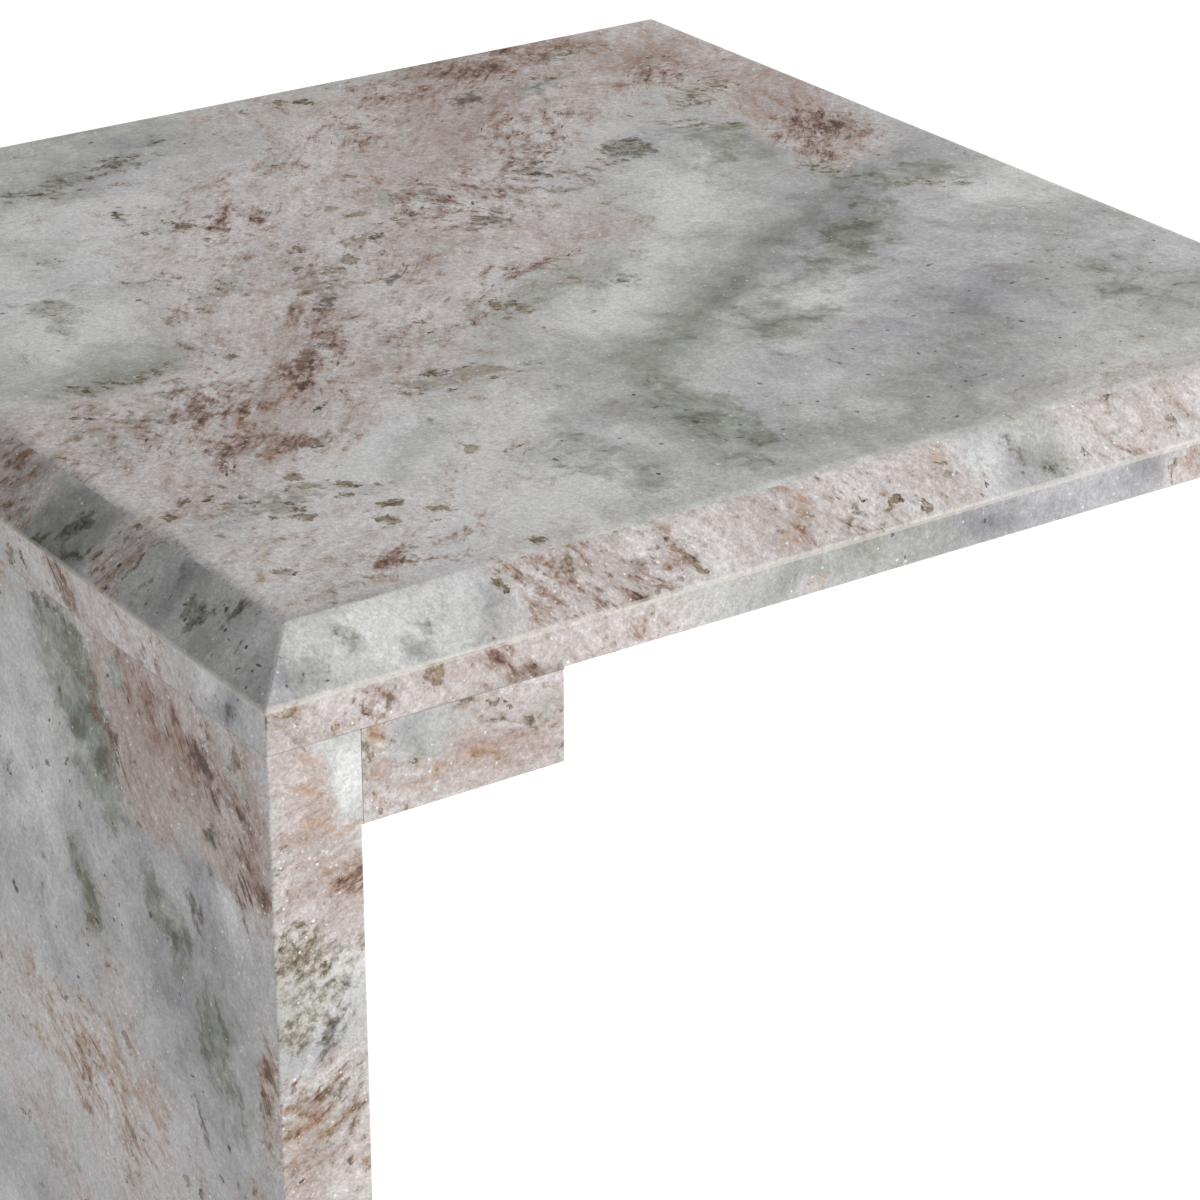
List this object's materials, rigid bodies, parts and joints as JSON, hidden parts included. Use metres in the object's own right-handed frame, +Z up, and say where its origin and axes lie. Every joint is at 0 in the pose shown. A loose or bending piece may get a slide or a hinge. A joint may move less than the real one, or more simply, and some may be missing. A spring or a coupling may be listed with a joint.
{
  "type": "c-shaped side table",
  "caption": "C-shaped side table of pinned stone slabs: a chamfered top on one upright panel over a matching base, cleats in the inside corners, open along one side.",
  "frame": {"origin": "on the floor under the middle of the table, at the bottom of the pads", "axes": "+Z up; the upright panel is at -X and the throat of the C opens towards +X; the front is at -Y"},
  "size_m": [0.45, 0.45, 0.62],
  "materials": {
    "top_stone": "polished, satin; pale stone in grey-white and sage green with pink-beige bands and brown flecks",
    "upright_stone": "polished, satin; the same stone with its streaks running down the panel",
    "base_stone": "polished, satin; the same stone as the top",
    "cleat_stone": "polished, satin; the pinker part of the same stone",
    "pin_steel": "ground stainless steel",
    "pad_rubber": "matt black rubber"
  },
  "bodies": {
    "root": {"top_slab": "top_stone", "upright_panel": "upright_stone", "base_slab": "base_stone", "upper_cleat": "cleat_stone", "lower_cleat": "cleat_stone", "top_pin_1": "pin_steel", "top_pin_2": "pin_steel", "top_pin_3": "pin_steel", "base_pin_1": "pin_steel", "base_pin_2": "pin_steel", "base_pin_3": "pin_steel", "upper_cleat_bed_pin_1": "pin_steel", "upper_cleat_bed_pin_2": "pin_steel", "lower_cleat_bed_pin_1": "pin_steel", "lower_cleat_bed_pin_2": "pin_steel", "upper_cleat_back_pin_1": "pin_steel", "upper_cleat_back_pin_2": "pin_steel", "lower_cleat_back_pin_1": "pin_steel", "lower_cleat_back_pin_2": "pin_steel", "pad_front_left": "pad_rubber", "pad_front_right": "pad_rubber", "pad_back_left": "pad_rubber", "pad_back_right": "pad_rubber"}
  },
  "joints": []
}
